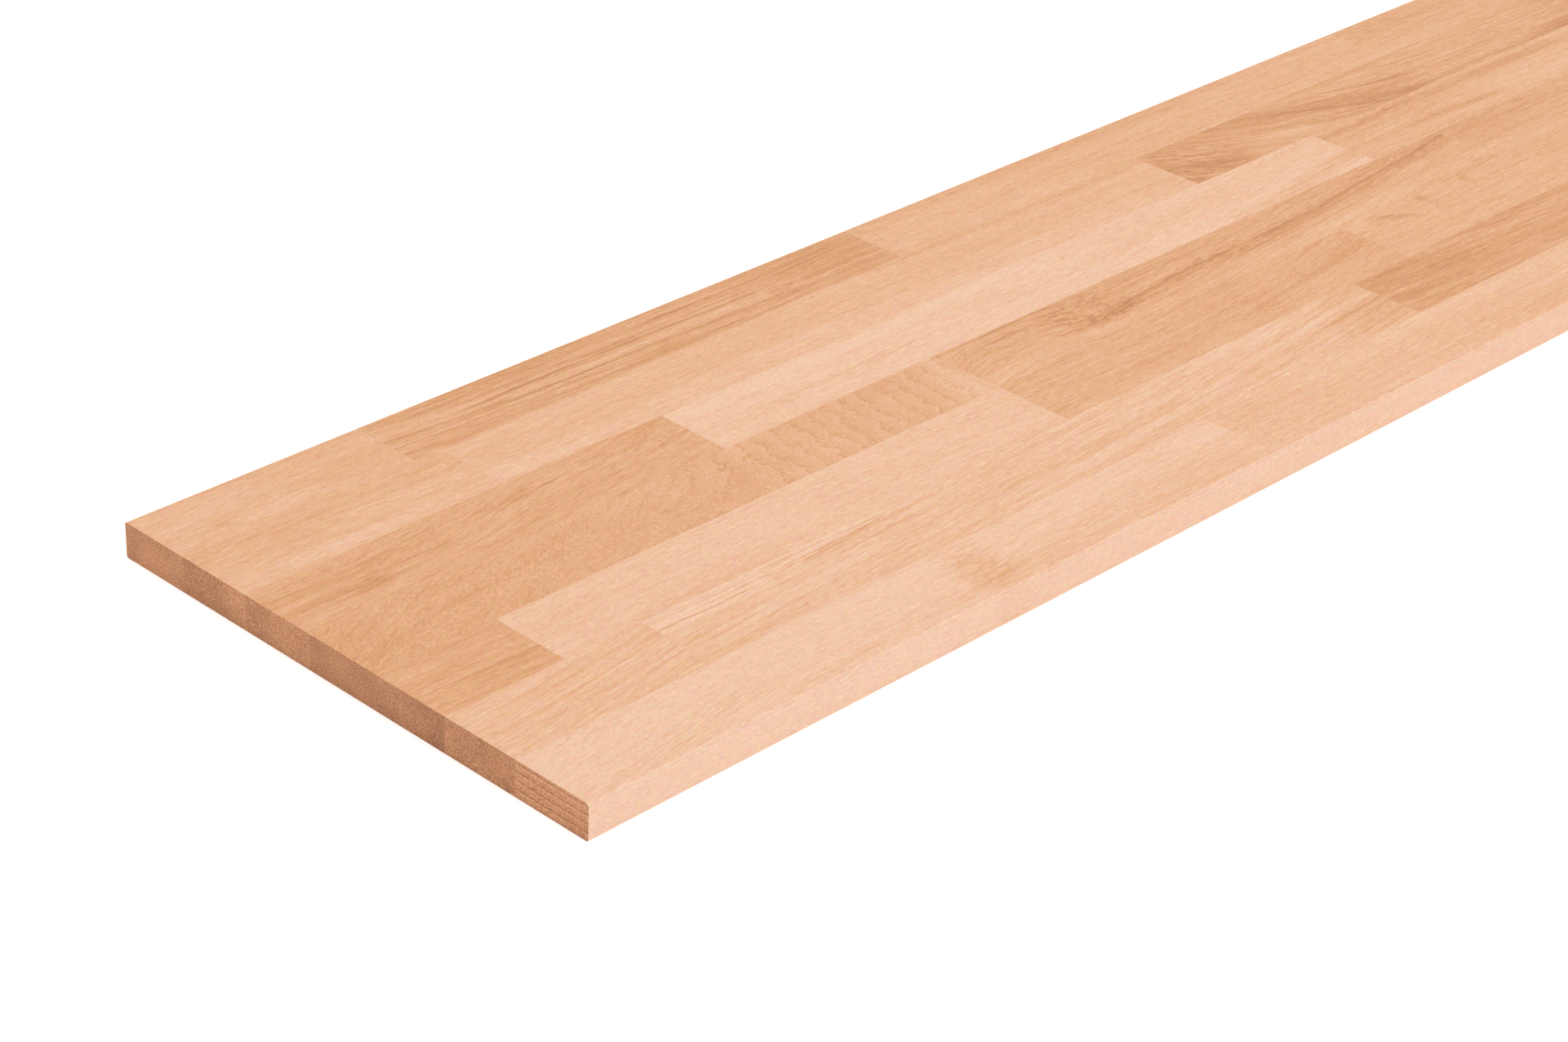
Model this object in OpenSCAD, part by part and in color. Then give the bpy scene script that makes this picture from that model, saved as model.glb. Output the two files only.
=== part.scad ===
/* [Board] */
// Length of the board, along the grain
board_length = 1200; // [1150:10:1600]
// Width of the board, across its rows of staves
board_width = 300; // [270:1:301]
// Thickness of the board
board_thickness = 18; // [12:1:27]

/* [Rounded edges] */
// Radius of the long top edge at the front
front_top_radius = 2.2; // [0.5:0.1:5]
// Radius of the long top edge at the back
back_top_radius = 1; // [0.5:0.1:5]
// Radius of the two long bottom edges
bottom_radius = 1.2; // [0.5:0.1:5]

/* [Staves] */
// Width of a full stave, and the last row is trimmed to what is left
stave_width = 43; // [38:0.5:48]
// Thickness of the glue between two pieces of wood
glue_line = 0.1; // [0.05:0.01:0.3]

/* [Finger joints] */
// Length of a finger, along the grain
finger_length = 10; // [6:0.5:15]
// Height from one finger to the next
finger_pitch = 4; // [3:0.1:6]
// Height of a finger at its blunt tip
finger_tip = 0.8; // [0.4:0.1:1.2]
// Gap filled with glue in front of each tip
finger_tip_gap = 0.4; // [0.1:0.1:1]
// Least wood between the outermost finger and a face of the board
finger_shoulder = 1; // [0.5:0.1:2]

/* [Hidden] */
// The origin is the middle of the underside, +X runs along the grain to the right end, and the front edge
// faces -Y. Row 0 of the lists below is the row at the front edge.
$fn = 64;
left_end = -board_length / 2;
right_end = board_length / 2;
front_edge = -board_width / 2;
back_edge = board_width / 2;

// Where the staves of each row meet, measured from the board's left end
joint_places = [
    [435, 835],
    [110, 606, 1000],
    [66, 386, 655, 930],
    [386, 797, 1080],
    [245, 740, 1040],
    [147, 642, 1110],
    [131, 456, 866]
];

// Tones of the wood
pale = [0.94, 0.76, 0.64];
light = [0.92, 0.73, 0.59];
tan = [0.90, 0.70, 0.54];
brown = [0.88, 0.67, 0.51];
glue = [0.90, 0.74, 0.58];
stave_tones = [
    [pale, pale, light],
    [light, pale, brown, tan],
    [brown, pale, tan, tan, light],
    [tan, tan, tan, light],
    [brown, pale, tan, light],
    [light, light, brown, tan],
    [light, brown, light, tan]
];

// How far a cutting outline reaches past the wood that it cuts
overcut = 1;
last_row = len(joint_places) - 1;
finger_count = floor((board_thickness - 2 * finger_shoulder) / finger_pitch);
finger_root = finger_pitch - finger_tip - 2 * glue_line;

function row_front(row) = front_edge + row * (stave_width + glue_line);
function row_back(row) = row == last_row ? back_edge : row_front(row) + stave_width;
function row_width(row) = row_back(row) - row_front(row);
function joint_x(row, joint) = left_end + joint_places[row][joint];
function last_place(row) = len(joint_places[row]);

// Height of the middle of a finger above the underside
function finger_z(finger) = board_thickness / 2 + (finger - (finger_count - 1) / 2) * finger_pitch;

// Half the height of a finger of the left-hand stave, at a distance from its root
function half_finger(distance) =
    (finger_root + (finger_tip - finger_root) * distance / finger_length) / 2;

function moved(outline, x) = [for (point = outline) [point[0] + x, point[1]]];
function reversed(outline) = [for (i = [len(outline) - 1 : -1 : 0]) outline[i]];

// Upright cut that ends a stave at an end of the board
function square_cut(x) = [[x, -overcut], [x, board_thickness + overcut]];

// Fingers that end the left-hand stave of a joint, from the underside up, with their roots at x = 0
function left_fingers() =
    let (tip_x = finger_length - finger_tip_gap)
    concat(
        [[0, -overcut]],
        [for (finger = [0 : finger_count - 1]) each [
            [0, finger_z(finger) - half_finger(0)],
            [tip_x, finger_z(finger) - half_finger(tip_x)],
            [tip_x, finger_z(finger) + half_finger(tip_x)],
            [0, finger_z(finger) + half_finger(0)]
        ]],
        [[0, board_thickness + overcut]]
    );

// Slots that start the right-hand stave of a joint, a glue line clear of those fingers
function right_slots() =
    concat(
        [[glue_line, -overcut]],
        [for (finger = [0 : finger_count - 1])
            let (below_x = finger == 0 ? glue_line : finger_tip_gap)
            let (above_x = finger == finger_count - 1 ? glue_line : finger_tip_gap)
            each [
                [below_x, finger_z(finger) - half_finger(below_x) - glue_line],
                [finger_length, finger_z(finger) - half_finger(finger_length) - glue_line],
                [finger_length, finger_z(finger) + half_finger(finger_length) + glue_line],
                [above_x, finger_z(finger) + half_finger(above_x) + glue_line]
            ]
        ],
        [[glue_line, board_thickness + overcut]]
    );

// Outline of a stave, seen from the front
function stave_outline(row, place) = concat(
    place == 0 ? square_cut(left_end) : moved(right_slots(), joint_x(row, place - 1)),
    reversed(place == last_place(row) ? square_cut(right_end) : moved(left_fingers(), joint_x(row, place)))
);

// Outline of the glue in a finger joint, seen from the front
function finger_glue_outline(row, joint) =
    moved(concat(left_fingers(), reversed(right_slots())), joint_x(row, joint));

// What rounding takes from a square corner at the origin
module corner_waste(radius) {
    difference() {
        translate([-overcut, -overcut]) square(radius + overcut);
        translate([radius, radius]) circle(radius);
    }
}

// Section of a row across the grain, with the board's long edges rounded
module row_section(row) {
    difference() {
        translate([row_front(row), 0]) square([row_width(row), board_thickness]);
        if (row == 0) {
            translate([front_edge, 0]) corner_waste(bottom_radius);
            translate([front_edge, board_thickness]) mirror([0, 1]) corner_waste(front_top_radius);
        }
        if (row == last_row) {
            translate([back_edge, 0]) mirror([1, 0]) corner_waste(bottom_radius);
            translate([back_edge, board_thickness]) rotate(180) corner_waste(back_top_radius);
        }
    }
}

// The row's whole length, longer than the board at both ends
module row_blank(row) {
    translate([left_end - overcut, 0, 0])
        rotate([90, 0, 90])
            linear_extrude(board_length + 2 * overcut)
                row_section(row);
}

// An outline seen from the front, cut through the whole width of a row
module through_row(row, outline) {
    translate([0, row_back(row) + overcut, 0])
        rotate([90, 0, 0])
            linear_extrude(row_width(row) + 2 * overcut)
                polygon(outline);
}

module stave(row, place) {
    color(stave_tones[row][place])
        intersection() {
            row_blank(row);
            through_row(row, stave_outline(row, place));
        }
}

// Film of glue between a row and the row behind it
module edge_glue(row) {
    color(glue)
        translate([left_end, row_back(row), 0])
            cube([board_length, glue_line, board_thickness]);
}

// Zigzag films of glue in all the end joints of a row
module finger_glue(row) {
    color(glue)
        for (joint = [0 : last_place(row) - 1])
            intersection() {
                row_blank(row);
                through_row(row, finger_glue_outline(row, joint));
            }
}

// Rows and staves are numbered and lettered from the front edge and the left end
letters = "abcde";
function stave_name(row, place) = str("stave_", row + 1, letters[place]);
function edge_glue_name(row) = str("edge_glue_", row + 1, "_", row + 2);
function finger_glue_name(row) = str("finger_glue_row_", row + 1);

for (row = [0 : last_row], place = [0 : last_place(row)])
    stave(row, place);
for (row = [0 : last_row - 1])
    edge_glue(row);
for (row = [0 : last_row])
    finger_glue(row);
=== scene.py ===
"""Looks of an edge-glued beech board: solid-wood finishes on its staves, soft studio light and a camera."""
import math

import bpy
from mathutils import Matrix, Vector


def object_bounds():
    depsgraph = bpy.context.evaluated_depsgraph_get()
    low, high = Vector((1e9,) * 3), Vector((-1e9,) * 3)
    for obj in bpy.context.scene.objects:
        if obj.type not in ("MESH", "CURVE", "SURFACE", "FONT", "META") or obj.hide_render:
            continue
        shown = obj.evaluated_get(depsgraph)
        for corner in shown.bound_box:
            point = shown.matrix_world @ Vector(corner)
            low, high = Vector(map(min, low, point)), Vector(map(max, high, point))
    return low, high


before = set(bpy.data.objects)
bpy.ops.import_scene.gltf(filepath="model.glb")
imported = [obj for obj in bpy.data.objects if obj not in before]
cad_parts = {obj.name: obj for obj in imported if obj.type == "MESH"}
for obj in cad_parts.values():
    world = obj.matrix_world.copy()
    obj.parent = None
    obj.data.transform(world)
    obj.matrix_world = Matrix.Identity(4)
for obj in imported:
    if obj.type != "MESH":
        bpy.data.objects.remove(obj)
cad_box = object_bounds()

MM = 0.001
BOARD_THICKNESS = (cad_box[1].z - cad_box[0].z) / MM
# The corner from which the places below are measured in millimetres: left end, front edge, underside
CORNER = Vector(cad_box[0])
WHITE = (1.0, 1.0, 1.0, 1.0)


# ---------------------------------------------------------------- camera and studio

CAMERA_PLACE = (-838.1, -894.4, 843.2)
# Degrees from straight along the board towards its back, degrees below level, and degrees of roll
HEADING, TILT, ROLL = 43.499, 29.563, 2.346
LENS, SENSOR_WIDTH = 86.233, 36.0
FARTHEST_SEEN = 50.0

SURROUND_STRENGTH = 0.97
LAMP_PLACE = (0.3, -0.7, 3.2)
LAMP_SIZE, LAMP_POWER = 2.0, 31.0
FLOOR_SIZE = 30.0
FLOOR_COLOUR = (0.93, 0.93, 0.93, 1.0)
FLOOR_ROUGHNESS, FLOOR_GLOW = 0.9, 0.36


def add_camera():
    """Looks down the board from above and beyond its near left corner."""
    camera = bpy.data.objects.new("camera", bpy.data.cameras.new("camera"))
    bpy.context.scene.collection.objects.link(camera)
    camera.data.sensor_width = SENSOR_WIDTH
    camera.data.lens = LENS
    camera.data.clip_end = FARTHEST_SEEN
    camera.matrix_world = (
        Matrix.Translation(CORNER + Vector(CAMERA_PLACE) * MM)
        @ Matrix.Rotation(math.radians(HEADING - 90), 4, "Z")
        @ Matrix.Rotation(math.radians(90 - TILT), 4, "X")
        @ Matrix.Rotation(math.radians(ROLL), 4, "Z")
    )
    bpy.context.scene.camera = camera


def add_lamp():
    """A square soft box over the front edge, turned to the middle of the board."""
    data = bpy.data.lights.new("overhead soft box", "AREA")
    data.shape = "SQUARE"
    data.size = LAMP_SIZE
    data.energy = LAMP_POWER
    lamp = bpy.data.objects.new("overhead soft box", data)
    bpy.context.scene.collection.objects.link(lamp)
    lamp.location = LAMP_PLACE
    lamp.rotation_euler = (-Vector(LAMP_PLACE)).to_track_quat("-Z", "Y").to_euler()


def add_surround():
    """Even white light from all round, shown in plain unstyled colours."""
    scene = bpy.context.scene
    scene.view_settings.view_transform = "Standard"
    scene.view_settings.look = "None"
    scene.world = bpy.data.worlds.new("white surround")
    scene.world.use_nodes = True
    background = scene.world.node_tree.nodes["Background"]
    background.inputs["Color"].default_value = WHITE
    background.inputs["Strength"].default_value = SURROUND_STRENGTH


def add_floor():
    """A pale floor that glows a little, so that it ends up as white as the surround."""
    bpy.ops.mesh.primitive_plane_add(size=FLOOR_SIZE, location=(0.0, 0.0, cad_box[0].z))
    floor = bpy.context.object
    floor.name = "floor"
    paint = Finish("floor paint")
    paint.surface({
        "Base Color": FLOOR_COLOUR,
        "Roughness": FLOOR_ROUGHNESS,
        "Emission Color": WHITE,
        "Emission Strength": FLOOR_GLOW,
    })
    floor.data.materials.append(paint.material)


# ---------------------------------------------------------------- shader maths

class Value:
    """A shader socket used in sums: each operator adds the Math node that it stands for."""

    def __init__(self, finish, socket):
        self.finish = finish
        self.socket = socket

    def output(self, name):
        """Another output of the same node."""
        return Value(self.finish, self.socket.node.outputs[name])

    def maths(self, operation, *terms):
        return self.finish.node("ShaderNodeMath", {"operation": operation}, dict(enumerate(terms)))

    def __add__(self, other):
        return self.maths("ADD", self, other)

    def __radd__(self, other):
        return self.maths("ADD", other, self)

    def __sub__(self, other):
        return self.maths("SUBTRACT", self, other)

    def __rsub__(self, other):
        return self.maths("SUBTRACT", other, self)

    def __mul__(self, other):
        return self.maths("MULTIPLY", self, other)

    def __truediv__(self, other):
        return self.maths("DIVIDE", self, other)

    def __pow__(self, other):
        return self.maths("POWER", self, other)

    def __abs__(self):
        return self.maths("ABSOLUTE", self)

    def at_least(self, other):
        return self.maths("MAXIMUM", self, other)

    def root(self):
        return self.maths("SQRT", self)

    def part(self):
        """The part after the decimal point."""
        return self.maths("FRACT", self)

    def rise(self, start, end):
        """0 up to start and 1 from end, with a smooth climb between them."""
        settings = {"interpolation_type": "SMOOTHSTEP"}
        return self.finish.node("ShaderNodeMapRange", settings, {0: self, 1: start, 2: end})


class Finish:
    """A material being made."""

    def __init__(self, name):
        self.material = bpy.data.materials.new(name)
        self.material.use_nodes = True
        self.tree = self.material.node_tree
        self.tree.nodes.clear()

    def node(self, kind, settings=None, inputs=None, output=0):
        """Adds a node of that kind, with its settings first and then its sockets, and gives one output."""
        added = self.tree.nodes.new(kind)
        for name, value in (settings or {}).items():
            if name == "stops":
                set_stops(added.color_ramp, value)
            elif name == "points":
                set_points(added.mapping, value)
            else:
                setattr(added, name, value)
        for name, value in (inputs or {}).items():
            if isinstance(value, Value):
                self.tree.links.new(value.socket, added.inputs[name])
            else:
                added.inputs[name].default_value = value
        return Value(self, added.outputs[output]) if added.outputs else None

    def coordinates(self, kind):
        """The piece's own coordinates of that kind, whole and then as x, y and z."""
        whole = self.node("ShaderNodeTexCoord", None, None, kind)
        x = self.node("ShaderNodeSeparateXYZ", None, {0: whole})
        return whole, x, x.output(1), x.output(2)

    def vector(self, x, y, z):
        return self.node("ShaderNodeCombineXYZ", None, {0: x, 1: y, 2: z})

    def noise(self, place, scale, detail, output=0):
        """Soft noise from 0 to 1, or in colours when the output says so."""
        sockets = {"Vector": place, "Scale": scale, "Detail": detail}
        return self.node("ShaderNodeTexNoise", None, sockets, output)

    def mix(self, share, low, high, blend="MIX"):
        """A colour, from low at a share of 0 to low blended with high at 1."""
        sockets = {0: share, 6: low, 7: high}
        return self.node("ShaderNodeMix", {"data_type": "RGBA", "blend_type": blend}, sockets, 2)

    def ramp(self, stops, tone):
        """The colour of a tone, between stops that each have a tone and a colour. The first tone is 0."""
        last = stops[-1][0]
        shares = [(stop / last, (*rgb, 1.0)) for stop, rgb in stops]
        return self.node("ShaderNodeValToRGB", {"stops": shares}, {0: tone / last})

    def surface(self, sockets):
        """Ends the material with the shader that these sockets describe."""
        shader = self.node("ShaderNodeBsdfPrincipled", None, sockets)
        self.node("ShaderNodeOutputMaterial", None, {"Surface": shader})


def set_stops(ramp, stops):
    """Gives a colour ramp its stops, each a place and a colour."""
    while len(ramp.elements) < len(stops):
        ramp.elements.new(0.5)
    for element, (place, colour) in zip(ramp.elements, stops):
        element.position = place
        element.color = colour


def set_points(mapping, points):
    """Gives a curve its points, which run from 0 to 1 along the curve."""
    curve = mapping.curves[0]
    while len(curve.points) < len(points):
        curve.points.new(0.5, 0.5)
    for point, place in zip(curve.points, points):
        point.location = place
    mapping.use_clip = False
    mapping.update()


# ---------------------------------------------------------------- beech

# Colours of planed beech by tone: cream at 0, the palest staves at 0.2, the brownest at 0.8 and dark marks
# from 1. Sawn end grain has colours of its own, by how dark it is.
BEECH = [
    (0.00, (0.738, 0.475, 0.322)),
    (0.20, (0.714, 0.428, 0.274)),
    (0.45, (0.678, 0.371, 0.206)),
    (0.65, (0.646, 0.335, 0.168)),
    (0.85, (0.600, 0.290, 0.124)),
    (1.10, (0.545, 0.246, 0.096)),
    (1.60, (0.440, 0.180, 0.068)),
]
END_GRAIN = [
    (0.0, (0.620, 0.308, 0.164)),
    (0.5, (0.445, 0.197, 0.092)),
    (1.0, (0.260, 0.104, 0.046)),
]
# Painted sheen on the long edges and a painted highlight on their rounded corners, mixed over the wood's own
# colour
EDGE_PAINTED_SHEEN, EDGE_PAINTED_SHEEN_SHARE = (0.676, 0.450, 0.325, 1.0), 0.5
CORNER_PAINTED_HIGHLIGHT, CORNER_HIGHLIGHT_SHARE = (0.80, 0.58, 0.45, 1.0), 0.35
# How squarely a face looks along the board to show end grain, or across it to count as a long edge
FACING_END = (0.4, 0.8)
FACING_EDGE = (0.5, 0.9)

# Sizes of what the wood shows, along and across the grain, then the detail and roughness of its noise
FEATURES = {
    "wander": (170.0, 50.0, 2.0, 0.5),
    "unevenness": (26.0, 6.0, 2.0, 0.5),
    "feathering": (34.0, 1.3, 3.0, 0.7),
    "waves": (60.0, 9.0, 2.0, 0.5),
    "ripples": (9.0, 3.0, 2.0, 0.5),
    "cloud": (120.0, 22.0, 2.0, 0.5),
    "streaks": (100.0, 2.6, 3.0, 0.62),
    "threads": (34.0, 1.1, 2.0, 0.6),
    "fibres": (8.0, 0.5, 2.0, 0.65),
    "pores": (1.3, 0.22, 1.0, 0.5),
    "curls": (6.0, 1.8, 3.0, 0.65),
    "vessels": (5.0, 0.85, 3.0, 0.75),
    "mottle": (3.6, 1.4, 2.0, 0.7),
}
# How far apart the staves lie in the noise, and the features of one stave
STAVE_STEP, FEATURE_STEP = 3.7, 11.3
# Sizes of the rays along the grain, round the rings and towards the bark, and of the glints along and across
RAY_SIZES = (1.6, 0.32, 3.0)
GLINT_SIZES = (2.2, 0.9)
# The noise over which a fleck of ray, a pore and a dark curl come in
FLECK_RISE = (0.60, 0.74)
PORE_RISE = (0.10, 0.24)
CURL_RISE = (-0.04, 0.16)

# What a stave is like where its recipe doesn't say. Lengths are in millimetres.
USUAL = {
    # Heights of a fibre along the board, as (along, height) points, where it isn't level
    "dive": None,
    # Degrees from across the board to straight down, towards the bark
    "lay": 70.0,
    # Distance to the heart of the tree, and width of a growth ring
    "heart": 80.0,
    "pitch": 2.6,
    # Two places along the board, between which the rings turn to lie level
    "turning": None,
    # How many rings high the long waves and the short ripples in a ring are
    "waviness": 0.9,
    "ripple": 0.5,
    # How suddenly a ring darkens at its late wood
    "sharpness": 5.0,
    # Strengths of the broad clouds, the long streaks, the thin threads and the ring lines in the tone
    "cloud": 0.35,
    "streaks": 0.45,
    "threads": 0.65,
    "rings": 0.08,
    # Darkness of the sawn end, strength of its ring lines, and its shade, as (start, end, darkness) across it
    "end": 0.5,
    "end_rings": 0.1,
    "end_shade": None,
    # Marks, each with the name of the method that draws it and then what that method is told
    "marks": (),
}


class Timber(Finish):
    """Solid beech for one stave. Places are in millimetres: along from the board's left end, across from its
    front edge and depth below its top, so a figure runs through a stave and shows on all its faces."""

    def __init__(self, name, seed, recipe):
        super().__init__(name)
        self.seed = seed
        self.draws = 0
        self.recipe = {**USUAL, **recipe}
        _, x, y, z = self.coordinates("Object")
        self.along = (x - CORNER.x) / MM
        self.across = (y - CORNER.y) / MM
        self.depth = BOARD_THICKNESS - (z - CORNER.z) / MM
        _, towards_end, towards_edge, _ = self.coordinates("Normal")
        self.end_grain = abs(towards_end).rise(*FACING_END)
        self.planed_edge = abs(towards_edge).rise(*FACING_EDGE)

    def feature(self, name):
        """Noise about 0 of the sizes that FEATURES has under this name. Every call draws a new one."""
        self.draws += 1
        length, width, detail, roughness = FEATURES[name]
        sockets = {
            "Vector": self.vector(self.along / length, self.lateral / width, self.sunk / width),
            "W": self.seed * STAVE_STEP + self.draws * FEATURE_STEP,
            "Scale": 1.0, "Detail": detail, "Roughness": roughness,
        }
        return self.node("ShaderNodeTexNoise", {"noise_dimensions": "4D"}, sockets) - 0.5

    def curve(self, points):
        """A value that changes smoothly along the board through these (along, value) points."""
        start, end = points[0][0], points[-1][0]
        low = min(value for _, value in points)
        span = max(max(value for _, value in points) - low, 1.0)
        shape = [((x - start) / (end - start), (value - low) / span) for x, value in points]
        share = (self.along - start) / (end - start)
        return self.node("ShaderNodeFloatCurve", {"points": shape}, {0: 1.0, 1: share}) * span + low

    def follow_grain(self):
        """Finds the lateral and sunk places, which stay the same along a fibre. Marks are placed on the board
        itself, with uneven outlines."""
        wander_reach, lean, mark_reach, feather_depth = 14.0, 0.4, 2.4, 3.4
        self.lateral = self.across
        self.sunk = self.depth
        drift = self.curve(self.recipe["grain"])
        wander = self.feature("wander") * wander_reach
        self.lateral = self.across - drift + wander
        if self.recipe["dive"]:
            self.sunk = self.depth + self.curve(self.recipe["dive"])
        self.marked = self.across + self.depth * lean + self.feature("unevenness") * mark_reach
        self.feathers = 1 + self.feature("feathering") * feather_depth

    def grow_rings(self):
        """Finds the places towards the bark and round a ring, and the ring lines, which are over 0 in dark
        late wood and under 0 in pale early wood."""
        late_wood_end = (0.96, 1.0)
        early_sharpness, early_share, first_clearness = 7, 0.5, 0.35
        lay = math.radians(self.recipe["lay"])
        heart = self.recipe["heart"]
        turning = self.recipe["turning"]
        self.outward = self.lateral * math.cos(lay)
        if turning:
            turned = self.along.rise(*turning)
            self.outward = self.outward * (1 - turned)
        self.outward = self.outward + self.sunk * math.sin(lay)
        self.sideways = self.sunk * math.cos(lay) - self.lateral * math.sin(lay)
        reach = self.outward + heart
        distance = (reach * reach + self.sideways * self.sideways).root() - heart
        ring = distance / self.recipe["pitch"]
        ring = ring + self.feature("waves") * self.recipe["waviness"]
        ring = ring + self.feature("ripples") * self.recipe["ripple"]
        part = ring.part()
        late = part ** self.recipe["sharpness"] * (1 - part.rise(*late_wood_end))
        early = (1 - part) ** early_sharpness
        self.ring_lines = late - early * early_share
        if turning:
            clearness = turned * (1 - first_clearness) + first_clearness
            self.ring_lines = self.ring_lines * clearness

    def lay_fibres(self):
        """Finds the features that run all through the stave, from broad clouds down to pores."""
        self.cloud = self.feature("cloud")
        self.streaks = self.feature("streaks")
        self.threads = self.feature("threads")
        self.fibres = self.feature("fibres")
        # The rays count as drawn, though their noise takes no seed
        self.draws += 1
        length, width, height = RAY_SIZES
        place = self.vector(self.along / length, self.sideways / width, self.outward / height)
        self.flecks = self.noise(place, 1.0, 1.0).rise(*FLECK_RISE)
        self.pores = self.feature("pores").rise(*PORE_RISE)

    def extent(self, points, fade_in, fade_out):
        """1 along these points and 0 beyond them, with a fade of that length inside each end."""
        start, end = points[0][0], points[-1][0]
        return self.along.rise(start, start + fade_in) * (1 - self.along.rise(end - fade_out, end))

    def stroke(self, points, width, darkness, fades=(14.0, 14.0)):
        """A line of dark fibres, or pale ones under 0, of that half width through these points. It fades in
        and out over those lengths."""
        side = (self.marked - self.curve(points)) / width
        line = (1 - side * side).at_least(0.0)
        return line * self.extent(points, *fades) * self.feathers * darkness

    def burl(self, along, across, length, width, darkness):
        """A spot with these half sizes where the fibres are knotted into short dark curls."""
        curls = self.feature("curls").rise(*CURL_RISE)
        return self.patch(along, across, length, width, darkness) * curls

    def patch(self, along, across, length, width, darkness, slope=0.0):
        """A soft spot with these half sizes, whose long axis rises by slope."""
        x = self.along - along
        y = self.marked - across - x * slope
        near = (1 - x * x / length ** 2 - y * y / width ** 2).at_least(0.0)
        return near * darkness

    def zone(self, points, softness, darkness, fade=20.0):
        """All that lies behind a line through these points, with a soft edge."""
        behind = (self.marked - self.curve(points)).rise(-softness, softness)
        return behind * self.extent(points, fade, fade) * darkness

    def face_tone(self):
        """How dark the planed wood is, as a tone of BEECH, with painted light that makes the long edges
        paler.
        """
        streak_weight, fibre_weight, fleck_weight, pore_weight, edge_painted_light = 1.3, 1.4, 0.12, 0.06, 0.13
        tone = self.cloud * self.recipe["cloud"]
        tone = tone + self.streaks * self.recipe["streaks"] * streak_weight
        tone = tone + self.threads * self.recipe["threads"]
        tone = tone + self.ring_lines * self.recipe["rings"]
        tone = tone + self.fibres * fibre_weight + self.flecks * fleck_weight
        # Painted light: the long edges are made paler in tone
        tone = tone + self.pores * pore_weight - self.planed_edge * edge_painted_light
        for kind, *details in self.recipe["marks"]:
            tone = tone + getattr(self, kind)(*details)
        return tone + self.recipe["tone"]

    def end_tone(self):
        """How dark the sawn end is, as a tone of END_GRAIN. Painted shade darkens it a little towards the
        underside.
        """
        vessel_weight, cloud_weight, pore_weight = 2.7, 0.7, 0.2
        underside_shade_depths, underside_painted_shade = (8.0, 22.0), 0.14
        vessels = self.feature("vessels")
        tone = self.ring_lines * self.recipe["end_rings"] + vessels * vessel_weight
        tone = tone + self.cloud * cloud_weight + self.pores * pore_weight
        # Painted shade: the sawn end darkens between these depths towards the underside
        tone = tone + self.depth.rise(*underside_shade_depths) * underside_painted_shade + self.recipe["end"]
        if self.recipe["end_shade"]:
            start, end, darkness = self.recipe["end_shade"]
            tone = tone + self.across.rise(start, end) * darkness
        return tone

    def colour(self, face, end):
        """The colours of both kinds of wood, with a painted sheen on the long edges, a painted highlight on
        their rounded corners and many fine small variations.
        """
        glint_share, mottle_share = 0.26, 0.26
        colour = self.mix(self.end_grain, self.ramp(BEECH, face), self.ramp(END_GRAIN, end))
        # Painted sheen: the long edges are mixed towards a paler colour
        colour = self.mix(self.planed_edge * EDGE_PAINTED_SHEEN_SHARE, colour, EDGE_PAINTED_SHEEN)
        # The rounded corners, where the wood is half turned from the top to the edge, get a painted highlight
        corner_highlight_mask = self.planed_edge * (1 - self.planed_edge) * 4 * (1 - self.end_grain)
        # Painted highlight along the rounded corners
        colour = self.mix(corner_highlight_mask * CORNER_HIGHLIGHT_SHARE, colour, CORNER_PAINTED_HIGHLIGHT)
        length, width = GLINT_SIZES
        place = self.vector(self.along / length, self.lateral / width, self.sunk / width)
        glints = self.noise(place, 1.0, 1.0, "Color")
        colour = self.mix(glint_share, colour, glints, "OVERLAY")
        mottle = self.feature("mottle") * mottle_share + 1
        return self.node("ShaderNodeVectorMath", {"operation": "SCALE"}, {0: colour, "Scale": mottle})

    def relief(self):
        """The faint relief of planed wood: fibres and late wood stand up, pores and rays lie low."""
        fibre_height, ring_height, pore_depth, ray_depth = 0.5, 0.04, 0.6, 0.3
        strength, full_height = 0.35, 0.06 * MM
        height = self.fibres * fibre_height - self.pores * pore_depth - self.flecks * ray_depth
        height = height + self.ring_lines * ring_height
        sockets = {"Strength": strength, "Distance": full_height, "Height": height}
        return self.node("ShaderNodeBump", None, sockets)

    def roughness(self):
        """A plain satin surface, rougher in streaks, pores and sawn wood."""
        plain, in_streaks, in_pores, in_sawn_wood = 0.50, 0.12, 0.10, 0.25
        return plain + self.streaks * in_streaks + self.pores * in_pores + self.end_grain * in_sawn_wood


def timber(name, seed, recipe):
    """The finish of one stave, from its recipe."""
    wood = Timber(name, seed, recipe)
    wood.follow_grain()
    wood.grow_rings()
    wood.lay_fibres()
    face = wood.face_tone()
    end = wood.end_tone()
    wood.surface({
        "Base Color": wood.colour(face, end),
        "Roughness": wood.roughness(),
        "IOR": 1.45,
        "Specular IOR Level": 0.4,
        "Normal": wood.relief(),
    })
    return wood.material


# ---------------------------------------------------------------- the staves
# Each recipe says where a stave differs from the usual. Its tone is one of BEECH. Its grain is a line that
# the fibres follow, as (along, across) points, and every mark is placed the same way. The order of the staves
# picks their noise.

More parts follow.
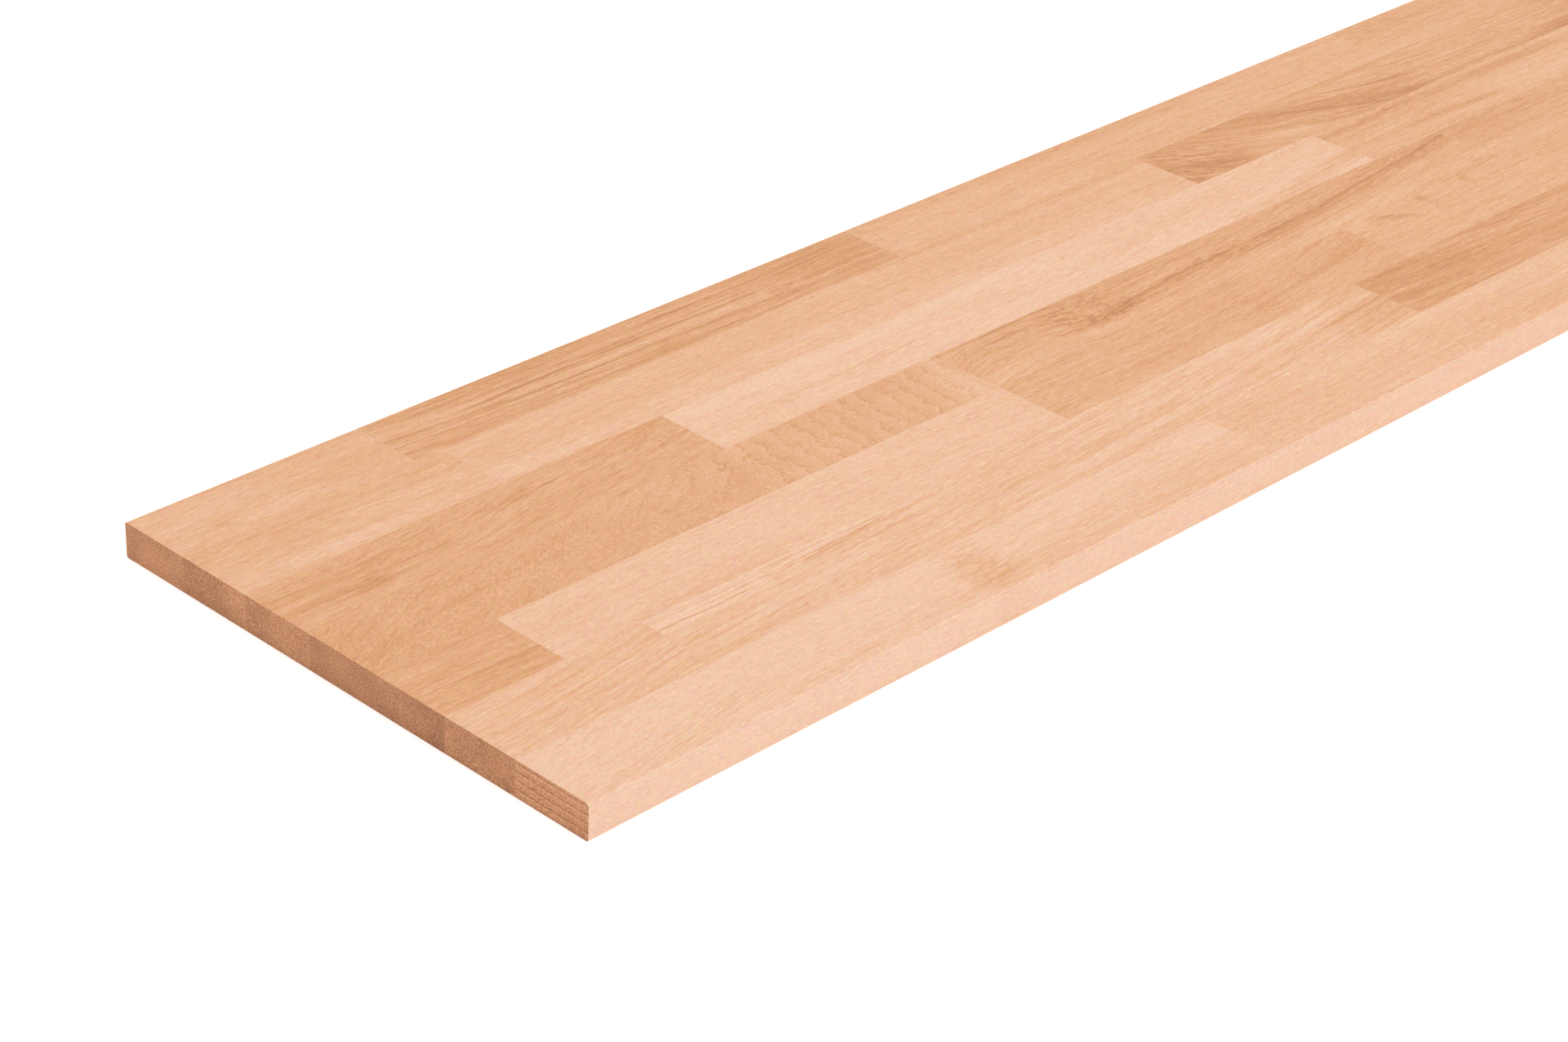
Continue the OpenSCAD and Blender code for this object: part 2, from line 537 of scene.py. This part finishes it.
STAVES = {
    "stave_1a": {
        "tone": 0.15, "end": 0.38, "grain": [(0, 15), (150, 30), (300, 34), (440, 34)],
        "dive": [(0, -1.9), (1200, -2.9)], "lay": 90, "heart": 3000, "pitch": 4.1, "sharpness": 8,
        "waviness": 0.2, "ripple": 0.25, "end_rings": 0.85, "streaks": 0.40,
        "marks": [
            ("patch", 251, 20, 17, 28, 0.22, 0.0),
            ("burl", 254, 19, 20, 28, 0.26),
            ("zone", [(110, 34), (250, 28), (470, 18)], 8, -0.07, 40),
            ("patch", 340, 6, 130, 14, 0.14),
            ("patch", 70, 30, 190, 26, -0.10),
            ("patch", 420, 20, 110, 44, 0.10),
            ("patch", 250, 10, 60, 12, 0.07),
        ],
    },
    "stave_1b": {
        "tone": 0.315, "grain": [(435, 34), (640, 33), (840, 35)], "lay": 80,
        "marks": [
            ("patch", 450, 34, 50, 16, 0.10),
            ("patch", 650, 8, 110, 18, 0.12),
            ("patch", 620, 36, 190, 12, -0.07),
        ],
    },
    "stave_1c": {"tone": 0.45, "grain": [(835, 30), (1200, 26)], "lay": 60},
    "stave_2a": {
        "tone": 0.31, "end": 0.53, "grain": [(0, 60), (110, 73)], "lay": 60, "streaks": 0.6,
        "marks": [
            ("stroke", [(-15, 74), (30, 79), (95, 87)], 2.0, -0.12),
            ("stroke", [(-15, 66), (50, 73), (125, 84)], 1.4, 0.14),
            ("stroke", [(-15, 59), (50, 65), (125, 75)], 1.6, 0.12),
            ("stroke", [(-15, 49), (50, 54), (125, 62)], 2.0, -0.10),
            ("patch", 40, 70, 80, 8, -0.10),
        ],
    },
    "stave_2b": {
        "tone": 0.28, "grain": [(110, 60), (250, 63), (400, 68), (610, 86)], "lay": 55,
        "streaks": 0.95, "threads": 0.9,
        "marks": [
            ("zone", [(70, 71), (170, 75), (270, 83)], 1.5, -0.22, 40),
            ("patch", 300, 82, 60, 6, -0.10),
            ("stroke", [(95, 76.5), (140, 75.5), (172, 75)], 0.8, 0.54),
            ("stroke", [(95, 83.5), (150, 84), (205, 83.6)], 0.7, 0.34),
            ("stroke", [(100, 82), (150, 81.5), (190, 81)], 0.6, 0.34),
            ("stroke", [(130, 78.6), (190, 79), (255, 80)], 0.8, 0.54),
            ("stroke", [(170, 77), (200, 77), (225, 77.5)], 0.7, 0.46),
            ("stroke", [(180, 83.5), (215, 83), (262, 82)], 0.7, 0.42),
            ("stroke", [(470, 56.5), (520, 61), (606, 67.5), (620, 68)], 1.6, 0.26),
            ("stroke", [(340, 51), (440, 57), (560, 70), (620, 74)], 3.0, -0.14),
            ("stroke", [(340, 60), (440, 66), (560, 75), (620, 79)], 2.2, 0.10),
            ("patch", 540, 50, 80, 7, 0.08),
            ("patch", 130, 57, 90, 18, 0.10),
            ("patch", 165, 64, 80, 20, -0.18),
            ("patch", 235, 82, 70, 6, -0.12),
            ("patch", 612, 62, 62, 36, 0.34),
            ("patch", 430, 81, 120, 7, -0.06),
            ("patch", 340, 66, 70, 14, 0.06),
        ],
    },
    "stave_2c": {
        "tone": 0.82, "grain": [(606, 72), (740, 65), (1010, 60)], "lay": 50,
        "streaks": 0.9, "threads": 1.1,
        "marks": [
            ("burl", 650, 68, 60, 24, 0.14),
            ("stroke", [(595, 76), (630, 74), (690, 69)], 1.2, 0.30),
            ("patch", 622, 57, 14, 5, 0.14),
            ("patch", 640, 82, 40, 5, 0.08),
            ("patch", 700, 70, 120, 5, 0.08),
        ],
    },
    "stave_2d": {"tone": 0.55, "grain": [(1000, 60), (1200, 66)], "lay": 40},
    "stave_3a": {
        "tone": 0.70, "end": 0.79, "end_shade": (88, 118, -0.16), "grain": [(0, 106), (70, 102)],
        "lay": 35, "streaks": 0.6, "pitch": 2.2, "rings": 0.14,
        "marks": [
            ("stroke", [(-15, 104), (30, 102.5), (75, 101)], 0.8, 0.18),
            ("stroke", [(-15, 109), (20, 108.5), (50, 107)], 0.7, 0.14),
        ],
    },
    "stave_3b": {
        "tone": 0.20, "grain": [(66, 105), (250, 106), (390, 98)], "lay": 75, "streaks": 0.25,
        "marks": [
            ("patch", 170, 91, 120, 10, 0.11),
        ],
    },
    "stave_3c": {
        "tone": 0.61, "grain": [(386, 100), (480, 100), (560, 104), (660, 118)], "lay": 60, "streaks": 0.55,
        "marks": [
            ("stroke", [(540, 98), (600, 106), (670, 116)], 4.0, 0.12),
            ("stroke", [(530, 124), (560, 129), (600, 134)], 3.0, 0.10),
            ("stroke", [(390, 99), (440, 99), (500, 99)], 1.0, 0.10),
            ("patch", 654, 116, 46, 18, 0.20),
            ("patch", 480, 91, 90, 7, -0.12),
            ("patch", 620, 107, 40, 10, 0.09),
        ],
    },
    "stave_3d": {
        "tone": 0.57, "grain": [(655, 104), (760, 102), (935, 104)], "lay": 75,
        "marks": [
            ("patch", 662, 125, 13, 6, -0.20),
            ("patch", 688, 121, 18, 4, 0.32, -0.6),
            ("burl", 690, 119, 30, 12, 0.20),
            ("patch", 719, 126, 5, 7, 0.30),
            ("patch", 758, 126, 5, 7, 0.26),
        ],
    },
    "stave_3e": {"tone": 0.40, "grain": [(930, 110), (1200, 104)], "lay": 65},
    "stave_4a": {
        "tone": 0.63, "end": 0.61, "grain": [(0, 112), (120, 154), (250, 180), (390, 190)],
        "dive": [(0, 0), (110, -30), (200, -95), (390, -290)], "turning": (120, 250),
        "lay": 20, "heart": 3000, "pitch": 3.4, "rings": 0.36, "waviness": 1.3, "ripple": 1.0, "streaks": 0.3,
        "marks": [
            ("patch", 380, 150, 14, 40, -0.20),
            ("patch", 290, 150, 90, 34, -0.09),
            ("burl", 118, 157, 40, 12, 0.25),
            ("patch", 60, 160, 70, 16, 0.10),
            ("stroke", [(0, 140), (60, 150), (150, 166), (200, 180)], 5.0, 0.12),
            ("patch", 0, 148, 34, 40, 0.14),
            ("patch", 60, 136, 60, 12, 0.08),
            ("patch", 150, 168, 80, 9, -0.10),
            ("patch", 390, 143, 44, 40, -0.13),
            ("patch", 90, 158, 54, 7, -0.10),
            ("patch", 375, 134, 40, 8, -0.08),
            ("patch", 270, 152, 64, 12, 0.07),
        ],
    },
    "stave_4b": {
        "tone": 0.64, "grain": [(386, 146), (430, 151), (480, 145), (600, 150), (800, 172)], "lay": 45,
        "streaks": 0.55, "threads": 0.9, "pitch": 2.4, "rings": 0.12,
        "marks": [
            ("stroke", [(370, 169), (410, 170.5), (480, 171.5)], 1.0, 0.34),
            ("burl", 478, 154, 36, 20, 0.72),
            ("burl", 490, 147, 44, 9, 0.66),
            ("burl", 425, 163, 45, 8, 0.30),
            ("burl", 570, 152, 80, 7, 0.50),
            ("patch", 474, 146, 18, 5, 0.16),
            ("stroke", [(440, 147), (460, 145), (480, 144), (505, 147)], 1.0, 0.30),
            ("stroke", [(478, 145), (520, 150), (560, 152.5), (640, 153), (700, 158), (812, 170)], 1.5, 0.38),
            ("stroke", [(478, 144), (540, 148), (600, 149), (700, 156)], 5.0, 0.20),
            ("burl", 480, 162, 34, 10, 0.50),
            ("zone", [(400, 160), (500, 155), (640, 158), (812, 172)], 6, 0.08),
            ("stroke", [(690, 152), (740, 159), (812, 167)], 5.0, 0.16),
            ("stroke", [(500, 166), (560, 164), (640, 165)], 1.0, 0.20),
            ("stroke", [(395, 162), (430, 163), (480, 159)], 0.9, 0.20),
            ("burl", 660, 156, 70, 6, 0.40),
            ("burl", 755, 163, 60, 8, 0.50),
            ("patch", 790, 169, 10, 5, 0.20),
            ("patch", 421, 134, 3, 2.4, 0.25),
            ("patch", 750, 133, 22, 3, 0.12),
            ("patch", 782, 135, 10, 1.5, 0.20),
            ("stroke", [(380, 134), (600, 135), (812, 140)], 8.0, -0.14),
            ("patch", 555, 157, 44, 5, -0.12),
            ("patch", 535, 137, 44, 6, 0.10),
            ("patch", 768, 163, 32, 12, 0.10),
            ("patch", 680, 137, 90, 9, -0.07),
            ("patch", 400, 136, 40, 8, -0.07),
        ],
    },
    "stave_4c": {
        "tone": 0.69, "grain": [(797, 150), (1085, 148)], "lay": 70, "streaks": 0.6,
        "marks": [
            ("patch", 830, 133, 90, 15, -0.16),
            ("patch", 825, 166, 80, 16, 0.10),
        ],
    },
    "stave_4d": {"tone": 0.35, "grain": [(1080, 150), (1200, 152)], "lay": 60},
    "stave_5a": {
        "tone": 0.67, "end": 0.48, "end_shade": (185, 212, 0.14),
        "grain": [(0, 190), (60, 191), (150, 202), (250, 214)], "lay": 55, "streaks": 0.6, "cloud": 0.5,
        "marks": [
            ("zone", [(-20, 203), (120, 200), (265, 206)], 5, 0.08),
            ("stroke", [(-20, 178), (30, 179), (100, 180)], 4.0, -0.18),
            ("patch", 46, 186, 14, 6, 0.22),
            ("stroke", [(-15, 187.5), (20, 189), (55, 190)], 2.2, 0.18),
            ("stroke", [(55, 192.5), (75, 192.5), (100, 192)], 0.8, 0.34, (6, 6)),
            ("patch", 140, 203, 20, 4, 0.20, 0.35),
            ("burl", 212, 195, 46, 24, 0.26),
            ("burl", 46, 187, 22, 8, 0.26),
            ("burl", 140, 203, 34, 7, 0.28),
            ("stroke", [(135, 199), (150, 202), (170, 203)], 1.0, 0.28, (6, 6)),
            ("stroke", [(70, 205), (90, 206), (115, 206)], 0.9, 0.20),
            ("patch", 55, 210, 120, 9, -0.11),
        ],
    },
    "stave_5b": {
        "tone": 0.15, "grain": [(245, 192), (420, 192), (600, 196), (745, 206)], "lay": 78, "streaks": 0.28,
        "marks": [
            ("stroke", [(240, 211), (300, 208), (400, 209), (500, 212)], 5.0, -0.16),
            ("stroke", [(270, 192), (320, 190), (400, 191)], 2.0, 0.10),
            ("stroke", [(395, 205), (415, 204.5), (440, 206)], 1.0, 0.14),
            ("zone", [(560, 225), (640, 214), (760, 200)], 8, 0.06),
            ("stroke", [(615, 170), (670, 176), (700, 180), (765, 190)], 8.0, 0.32),
            ("patch", 320, 203, 120, 12, -0.08),
            ("patch", 600, 194, 100, 15, 0.07),
        ],
    },
    "stave_5c": {
        "tone": 0.58, "grain": [(740, 196), (860, 195), (1050, 190)], "lay": 60, "streaks": 0.6,
        "marks": [
            ("stroke", [(725, 208), (820, 208), (890, 208), (970, 206)], 5.0, 0.20),
            ("burl", 825, 211, 50, 6, 0.34),
            ("burl", 812, 192, 26, 12, 0.30),
            ("stroke", [(785, 189), (830, 186.5), (880, 183)], 3.5, 0.20),
            ("stroke", [(760, 196), (860, 197), (960, 192)], 5.0, -0.10),
            ("patch", 812, 202, 60, 12, 0.13),
            ("patch", 930, 188, 80, 16, -0.12),
        ],
    },
    "stave_5d": {"tone": 0.50, "grain": [(1040, 192), (1200, 196)], "lay": 45},
    "stave_6a": {
        "tone": 0.42, "end": 0.40, "end_shade": (217, 240, 0.22), "grain": [(0, 238), (150, 237)],
        "lay": 50, "streaks": 0.55,
        "marks": [
            ("zone", [(-20, 240), (160, 238)], 5, 0.10),
            ("stroke", [(-10, 249), (60, 249), (150, 249)], 1.2, 0.16),
            ("patch", 70, 221, 110, 7, -0.08),
        ],
    },
    "stave_6b": {
        "tone": 0.42, "grain": [(147, 236), (400, 236), (645, 234)], "lay": 70, "streaks": 0.35,
        "marks": [
            ("stroke", [(130, 222), (300, 224), (480, 218)], 9.0, -0.14),
            ("stroke", [(420, 258), (540, 256), (660, 254)], 5.0, 0.22, (40, 14)),
            ("stroke", [(140, 258), (220, 258), (320, 258)], 1.2, 0.20),
            ("patch", 250, 221, 80, 9, -0.10),
            ("patch", 550, 221, 110, 11, -0.15),
            ("patch", 450, 243, 240, 10, 0.09),
        ],
    },
    "stave_6c": {
        "tone": 0.79, "grain": [(642, 265), (700, 238), (760, 217), (850, 204), (1115, 198)], "lay": 35,
        "streaks": 0.7, "threads": 1.0, "pitch": 3.2, "rings": 0.16,
        "marks": [
            ("patch", 640, 230, 40, 34, 0.06),
            ("burl", 658, 230, 44, 30, 0.84),
            ("stroke", [(620, 250), (650, 234), (680, 220), (705, 206)], 7.0, 0.24),
            ("stroke", [(630, 262), (680, 243), (740, 224), (790, 207)], 6.0, -0.14),
            ("stroke", [(672, 268), (725, 252), (770, 240), (810, 226), (860, 208)], 8.0, 0.22),
            ("burl", 800, 224, 70, 13, 0.38),
            ("stroke", [(735, 250), (770, 237), (800, 223), (830, 212)], 1.8, 0.34),
            ("stroke", [(785, 250), (825, 239), (860, 232)], 1.3, 0.60),
            ("stroke", [(840, 252), (865, 248), (900, 244)], 1.2, 0.44),
            ("burl", 720, 246, 50, 14, 0.25),
            ("patch", 812, 240, 30, 5, -0.16, -0.3),
            ("stroke", [(820, 217), (880, 218), (1060, 216)], 5.0, 0.24),
            ("zone", [(830, 212), (900, 212), (1020, 216)], 8, -0.16, 60),
            ("patch", 722, 221, 36, 12, -0.20),
            ("patch", 805, 249, 70, 8, -0.14, -0.1),
            ("patch", 804, 221, 24, 8, 0.15),
            ("patch", 988, 219, 44, 10, 0.28),
            ("patch", 700, 252, 34, 7, 0.08),
            ("patch", 668, 238, 30, 12, -0.14),
            ("patch", 840, 246, 60, 10, -0.10),
            ("patch", 716, 254, 16, 6, -0.14),
            ("patch", 785, 243, 34, 7, -0.10),
        ],
    },
    "stave_6d": {"tone": 0.60, "grain": [(1110, 236), (1200, 236)], "lay": 70},
    "stave_7a": {
        "tone": 0.49, "end": 0.53, "grain": [(0, 278), (135, 279)], "lay": 12, "streaks": 0.3, "cloud": 0.6,
        "marks": [
            ("patch", 58, 268, 26, 8, -0.14),
            ("patch", 27, 269, 10, 4, 0.12),
            ("patch", 0, 285, 66, 28, -0.14),
            ("patch", 106, 286, 54, 28, 0.10),
        ],
    },
    "stave_7b": {
        "tone": 0.63, "grain": [(131, 283), (200, 279), (340, 276), (460, 275)], "lay": 30,
        "streaks": 0.7, "threads": 1.3, "pitch": 2.4, "rings": 0.14,
        "marks": [
            ("zone", [(120, 300), (150, 292), (190, 285), (470, 285)], 2.5, 0.22),
            ("stroke", [(112, 281), (150, 278), (210, 274.5)], 1.8, 0.40),
            ("stroke", [(165, 279.5), (260, 281), (340, 279.5), (385, 278.5)], 1.4, 0.48, (50, 24)),
            ("stroke", [(112, 273.5), (170, 270), (265, 266.5)], 1.1, 0.34),
            ("stroke", [(150, 275.5), (200, 273), (275, 271), (340, 269.6), (388, 268.6)], 1.2, 0.46,
             (60, 24)),
            ("stroke", [(112, 265), (200, 264), (270, 262), (350, 262)], 1.6, 0.26),
            ("stroke", [(240, 276), (320, 275), (382, 274)], 2.0, -0.16),
            ("stroke", [(190, 287.5), (250, 286), (300, 286)], 1.0, 0.20),
            ("patch", 432, 278, 50, 26, 0.20),
            ("burl", 384, 271, 14, 9, 0.55),
            ("stroke", [(112, 262), (230, 260.5), (385, 260)], 2.4, 0.18),
            ("stroke", [(225, 291.5), (280, 290.5), (345, 290)], 0.9, 0.26),
            ("stroke", [(250, 284), (300, 283.5), (375, 283)], 0.7, 0.26),
            ("stroke", [(300, 291), (360, 290), (400, 290)], 1.6, 0.16),
            ("patch", 312, 293, 74, 8, -0.14),
            ("patch", 322, 265, 50, 6, 0.20),
            ("patch", 387, 265, 20, 6, 0.16),
            ("patch", 216, 294, 24, 6, 0.12),
            ("patch", 452, 294, 24, 9, -0.14),
            ("patch", 260, 285, 34, 5, -0.08),
            ("patch", 170, 285, 60, 5, -0.08),
            ("patch", 445, 284, 30, 6, -0.09),
            ("patch", 310, 273, 50, 5, 0.08),
        ],
    },
    "stave_7c": {
        "tone": 0.52, "grain": [(456, 284), (660, 279), (870, 276)], "lay": 80, "streaks": 0.3,
        "marks": [
            ("zone", [(440, 296), (600, 293), (880, 296)], 5, 0.08),
            ("patch", 759, 296, 1.6, 6, 0.25),
            ("patch", 670, 294, 90, 8, 0.15),
            ("patch", 560, 264, 140, 9, -0.10),
        ],
    },
    "stave_7d": {
        "tone": 0.64, "grain": [(866, 284), (1200, 278)], "lay": 60, "streaks": 0.5,
        "marks": [
            ("patch", 890, 263, 64, 8, -0.17),
            ("patch", 905, 284, 70, 15, 0.08),
        ],
    },
}

def finish_staves():
    """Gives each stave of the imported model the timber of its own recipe."""
    for seed, (name, recipe) in enumerate(STAVES.items(), 1):
        set_finish(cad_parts[name], timber(name.replace("stave", "beech"), seed, recipe))


def set_finish(piece, material):
    """Puts a material in all the slots of a piece."""
    if not piece.material_slots:
        piece.data.materials.append(material)
    for slot in piece.material_slots:
        slot.material = material


# ---------------------------------------------------------------- the glue

GLUE_PALE = (0.66, 0.38, 0.22, 1.0)
GLUE_DEEP = (0.58, 0.30, 0.15, 1.0)
GLUE_AT_BOARD_END = (0.36, 0.16, 0.08, 1.0)
# Clots of glue to the metre
CLOT_SCALE = 180.0
GLUE_ROUGHNESS, CLOT_ROUGHNESS = 0.35, 0.2


def finish_glue():
    """Cured wood glue, clear enough to take the colour of the beech beside it."""
    glue = Finish("wood glue")
    place, *_ = glue.coordinates("Object")
    _, towards_end, *_ = glue.coordinates("Normal")
    at_board_end = abs(towards_end).rise(*FACING_END)
    clots = glue.noise(place, CLOT_SCALE, 3.0)
    colour = glue.mix(clots, GLUE_PALE, GLUE_DEEP)
    colour = glue.mix(at_board_end, colour, GLUE_AT_BOARD_END)
    glue.surface({"Base Color": colour, "Roughness": clots * CLOT_ROUGHNESS + GLUE_ROUGHNESS, "IOR": 1.47})
    for name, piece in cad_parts.items():
        if "glue" in name:
            set_finish(piece, glue.material)


# ---------------------------------------------------------------- the scene

add_camera()
add_surround()
add_lamp()
add_floor()
finish_staves()
finish_glue()
